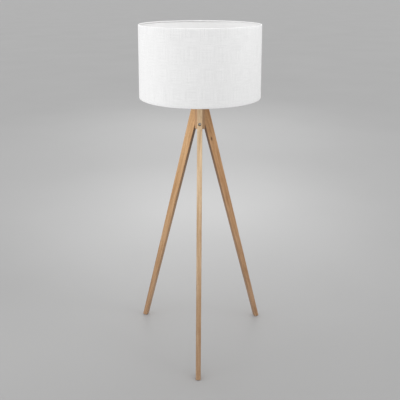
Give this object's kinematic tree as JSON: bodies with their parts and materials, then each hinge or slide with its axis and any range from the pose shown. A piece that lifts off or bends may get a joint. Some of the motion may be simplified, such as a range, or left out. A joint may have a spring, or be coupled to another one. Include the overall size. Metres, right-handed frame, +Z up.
{
  "type": "tripod floor lamp",
  "caption": "Floor lamp with a drum fabric shade on a hexagonal wooden hub and tapered splayed wooden legs.",
  "frame": {"origin": "on the floor, on the lamp's vertical axis, midway between the three feet", "axes": "+Z up along the lamp; -Y towards the front leg, +X to the right"},
  "size_m": [0.6116, 0.6015, 1.48],
  "materials": {
    "light_wood": "satin clear lacquer over light oak or ash",
    "dowel_wood": "raw turned beech",
    "felt": "grey felt",
    "zinc_steel": "bright zinc plate",
    "white_plastic": "moulded, semi-gloss",
    "ivory_insulator": "matt",
    "brass": "plain",
    "nickel_cap": "rolled",
    "black_insulator": "glassy",
    "bulb_plastic": "moulded",
    "led_board": "white solder mask",
    "driver_board": "green solder mask",
    "led_chips": "phosphor",
    "opal_diffuser": "opal",
    "shade_fabric": "plain-weave cotton, white",
    "shade_liner": "matt white",
    "white_painted_wire": "white powder coat"
  },
  "bodies": {
    "stand": {"foot_pad_front": "felt", "foot_pad_rear_left": "felt", "foot_pad_rear_right": "felt", "hub_block": "light_wood", "lampholder_cap": "white_plastic", "lampholder_centre_contact": "brass", "lampholder_core": "ivory_insulator", "lampholder_grub_screw": "zinc_steel", "lampholder_screw_shell": "brass", "lampholder_sleeve": "white_plastic", "lampholder_terminals": "brass", "lead_bush": "white_plastic", "leg_bolt_washers": "zinc_steel", "leg_bolts": "zinc_steel", "leg_front": "light_wood", "leg_rear_left": "light_wood", "leg_rear_right": "light_wood", "locating_dowels": "dowel_wood", "stem_lower_nut": "zinc_steel", "stem_lower_washer": "zinc_steel", "stem_tube": "zinc_steel", "stem_upper_nut": "zinc_steel", "stem_upper_washer": "zinc_steel", "threaded_inserts": "zinc_steel"},
    "shade": {"shade_bottom_ring": "white_painted_wire", "shade_carrier_ring": "white_painted_wire", "shade_fabric": "shade_fabric", "shade_liner": "shade_liner", "shade_spider_arms": "white_painted_wire", "shade_top_ring": "white_painted_wire"},
    "retaining_ring": {"shade_retaining_ring": "white_plastic"},
    "bulb": {"bulb_centre_contact": "nickel_cap", "bulb_diffuser": "opal_diffuser", "bulb_driver_board": "driver_board", "bulb_housing": "bulb_plastic", "bulb_insulator": "black_insulator", "bulb_led_board": "led_board", "bulb_leds": "led_chips", "bulb_screw_cap": "nickel_cap"}
  },
  "joints": [
    {"name": "shade_turn", "type": "hinge", "parent": "stand", "child": "shade", "pos_m": [0, 0, 1.225], "axis": [0, 0, 1], "continuous": true},
    {"name": "retaining_ring_turn", "type": "hinge", "parent": "stand", "child": "retaining_ring", "pos_m": [0, 0, 1.227], "axis": [0, 0, 1], "range_deg": [0, 2880]},
    {"name": "bulb_turn", "type": "hinge", "parent": "stand", "child": "bulb", "pos_m": [0, 0, 1.247], "axis": [0, 0, 1], "range_deg": [0, 1800]}
  ]
}
